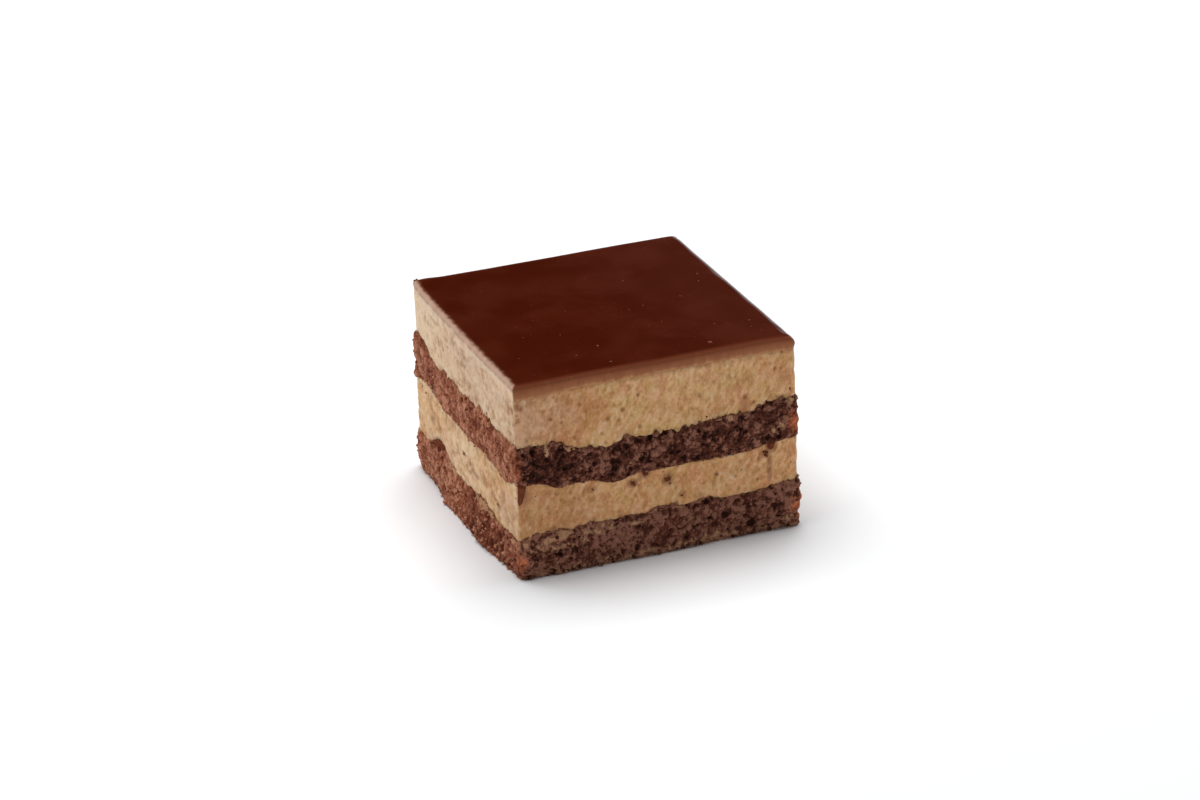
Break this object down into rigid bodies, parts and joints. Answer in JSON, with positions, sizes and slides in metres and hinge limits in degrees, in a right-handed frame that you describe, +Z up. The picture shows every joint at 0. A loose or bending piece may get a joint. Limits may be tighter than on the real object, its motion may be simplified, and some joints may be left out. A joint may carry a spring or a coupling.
{
  "type": "entremet cake",
  "caption": "Square portion of layered mousse cake: chocolate sponge and coffee mousse in turn under a thin glossy chocolate glaze, resting on a flat underside.",
  "frame": {"origin": "on the surface the cake stands on, under the middle of its outline", "axes": "+Z up out of the glaze; -Y out of the cut face that the picture shows widest; -X out of the other cut face it shows"},
  "size_m": [0.0622, 0.0608, 0.0413],
  "materials": {
    "base_sponge": "matte",
    "lower_mousse": "matte",
    "upper_sponge": "matte",
    "upper_mousse": "matte",
    "glaze": "gloss"
  },
  "bodies": {
    "root": {"base_sponge": "base_sponge", "lower_mousse": "lower_mousse", "upper_sponge": "upper_sponge", "upper_mousse": "upper_mousse", "glaze": "glaze"}
  },
  "joints": []
}
